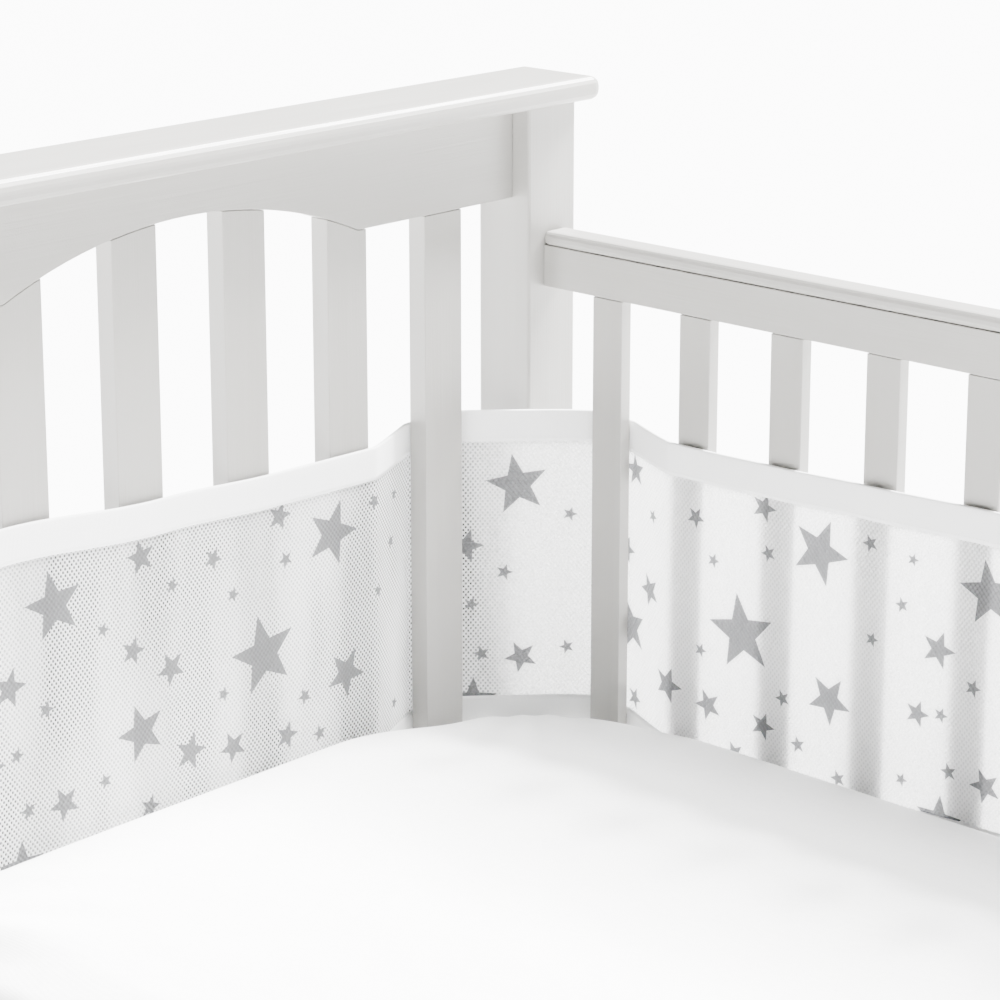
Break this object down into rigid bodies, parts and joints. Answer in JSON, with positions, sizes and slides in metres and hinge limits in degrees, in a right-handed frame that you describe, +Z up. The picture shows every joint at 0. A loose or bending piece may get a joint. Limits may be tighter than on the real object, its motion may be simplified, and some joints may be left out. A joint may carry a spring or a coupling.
{
  "type": "crib bumper on a crib corner",
  "caption": "Breathable mesh crib bumper with scattered stars and plain tapes, woven between the slats round the head corner of a white wooden crib with its mattress.",
  "frame": {"origin": "centre of the corner post's foot, on the floor", "axes": "+Z up, +X along the crib's long side away from the head end, -Y along the head end"},
  "size_m": [1.4488, 0.7883, 0.9758],
  "materials": {
    "painted_wood": "satin white paint on wood",
    "fitted_sheet": "white cotton fitted sheet",
    "spacer_mesh": "white open polyester mesh with grey printed stars",
    "binding_tape": "white folded polyester tape, stitched"
  },
  "bodies": {
    "root": {"corner_post": "painted_wood", "head_end_post": "painted_wood", "long_side_post": "painted_wood", "low_post": "painted_wood", "head_apron": "painted_wood", "head_cap": "painted_wood", "head_low_rail": "painted_wood", "head_slat_1": "painted_wood", "head_slat_2": "painted_wood", "head_slat_3": "painted_wood", "head_slat_4": "painted_wood", "head_slat_5": "painted_wood", "head_slat_6": "painted_wood", "side_top_rail": "painted_wood", "side_cap": "painted_wood", "side_low_rail": "painted_wood", "side_slat_01": "painted_wood", "side_slat_02": "painted_wood", "side_slat_03": "painted_wood", "side_slat_04": "painted_wood", "side_slat_05": "painted_wood", "side_slat_06": "painted_wood", "side_slat_07": "painted_wood", "side_slat_08": "painted_wood", "side_slat_09": "painted_wood", "side_slat_10": "painted_wood", "side_slat_11": "painted_wood", "side_slat_12": "painted_wood", "side_slat_13": "painted_wood", "side_slat_14": "painted_wood", "side_slat_15": "painted_wood", "near_low_rail": "painted_wood", "foot_low_rail": "painted_wood", "mattress_board": "painted_wood", "mattress": "fitted_sheet", "bumper_mesh_panel": "spacer_mesh", "bumper_top_tape": "binding_tape", "bumper_foot_tape": "binding_tape"}
  },
  "joints": []
}
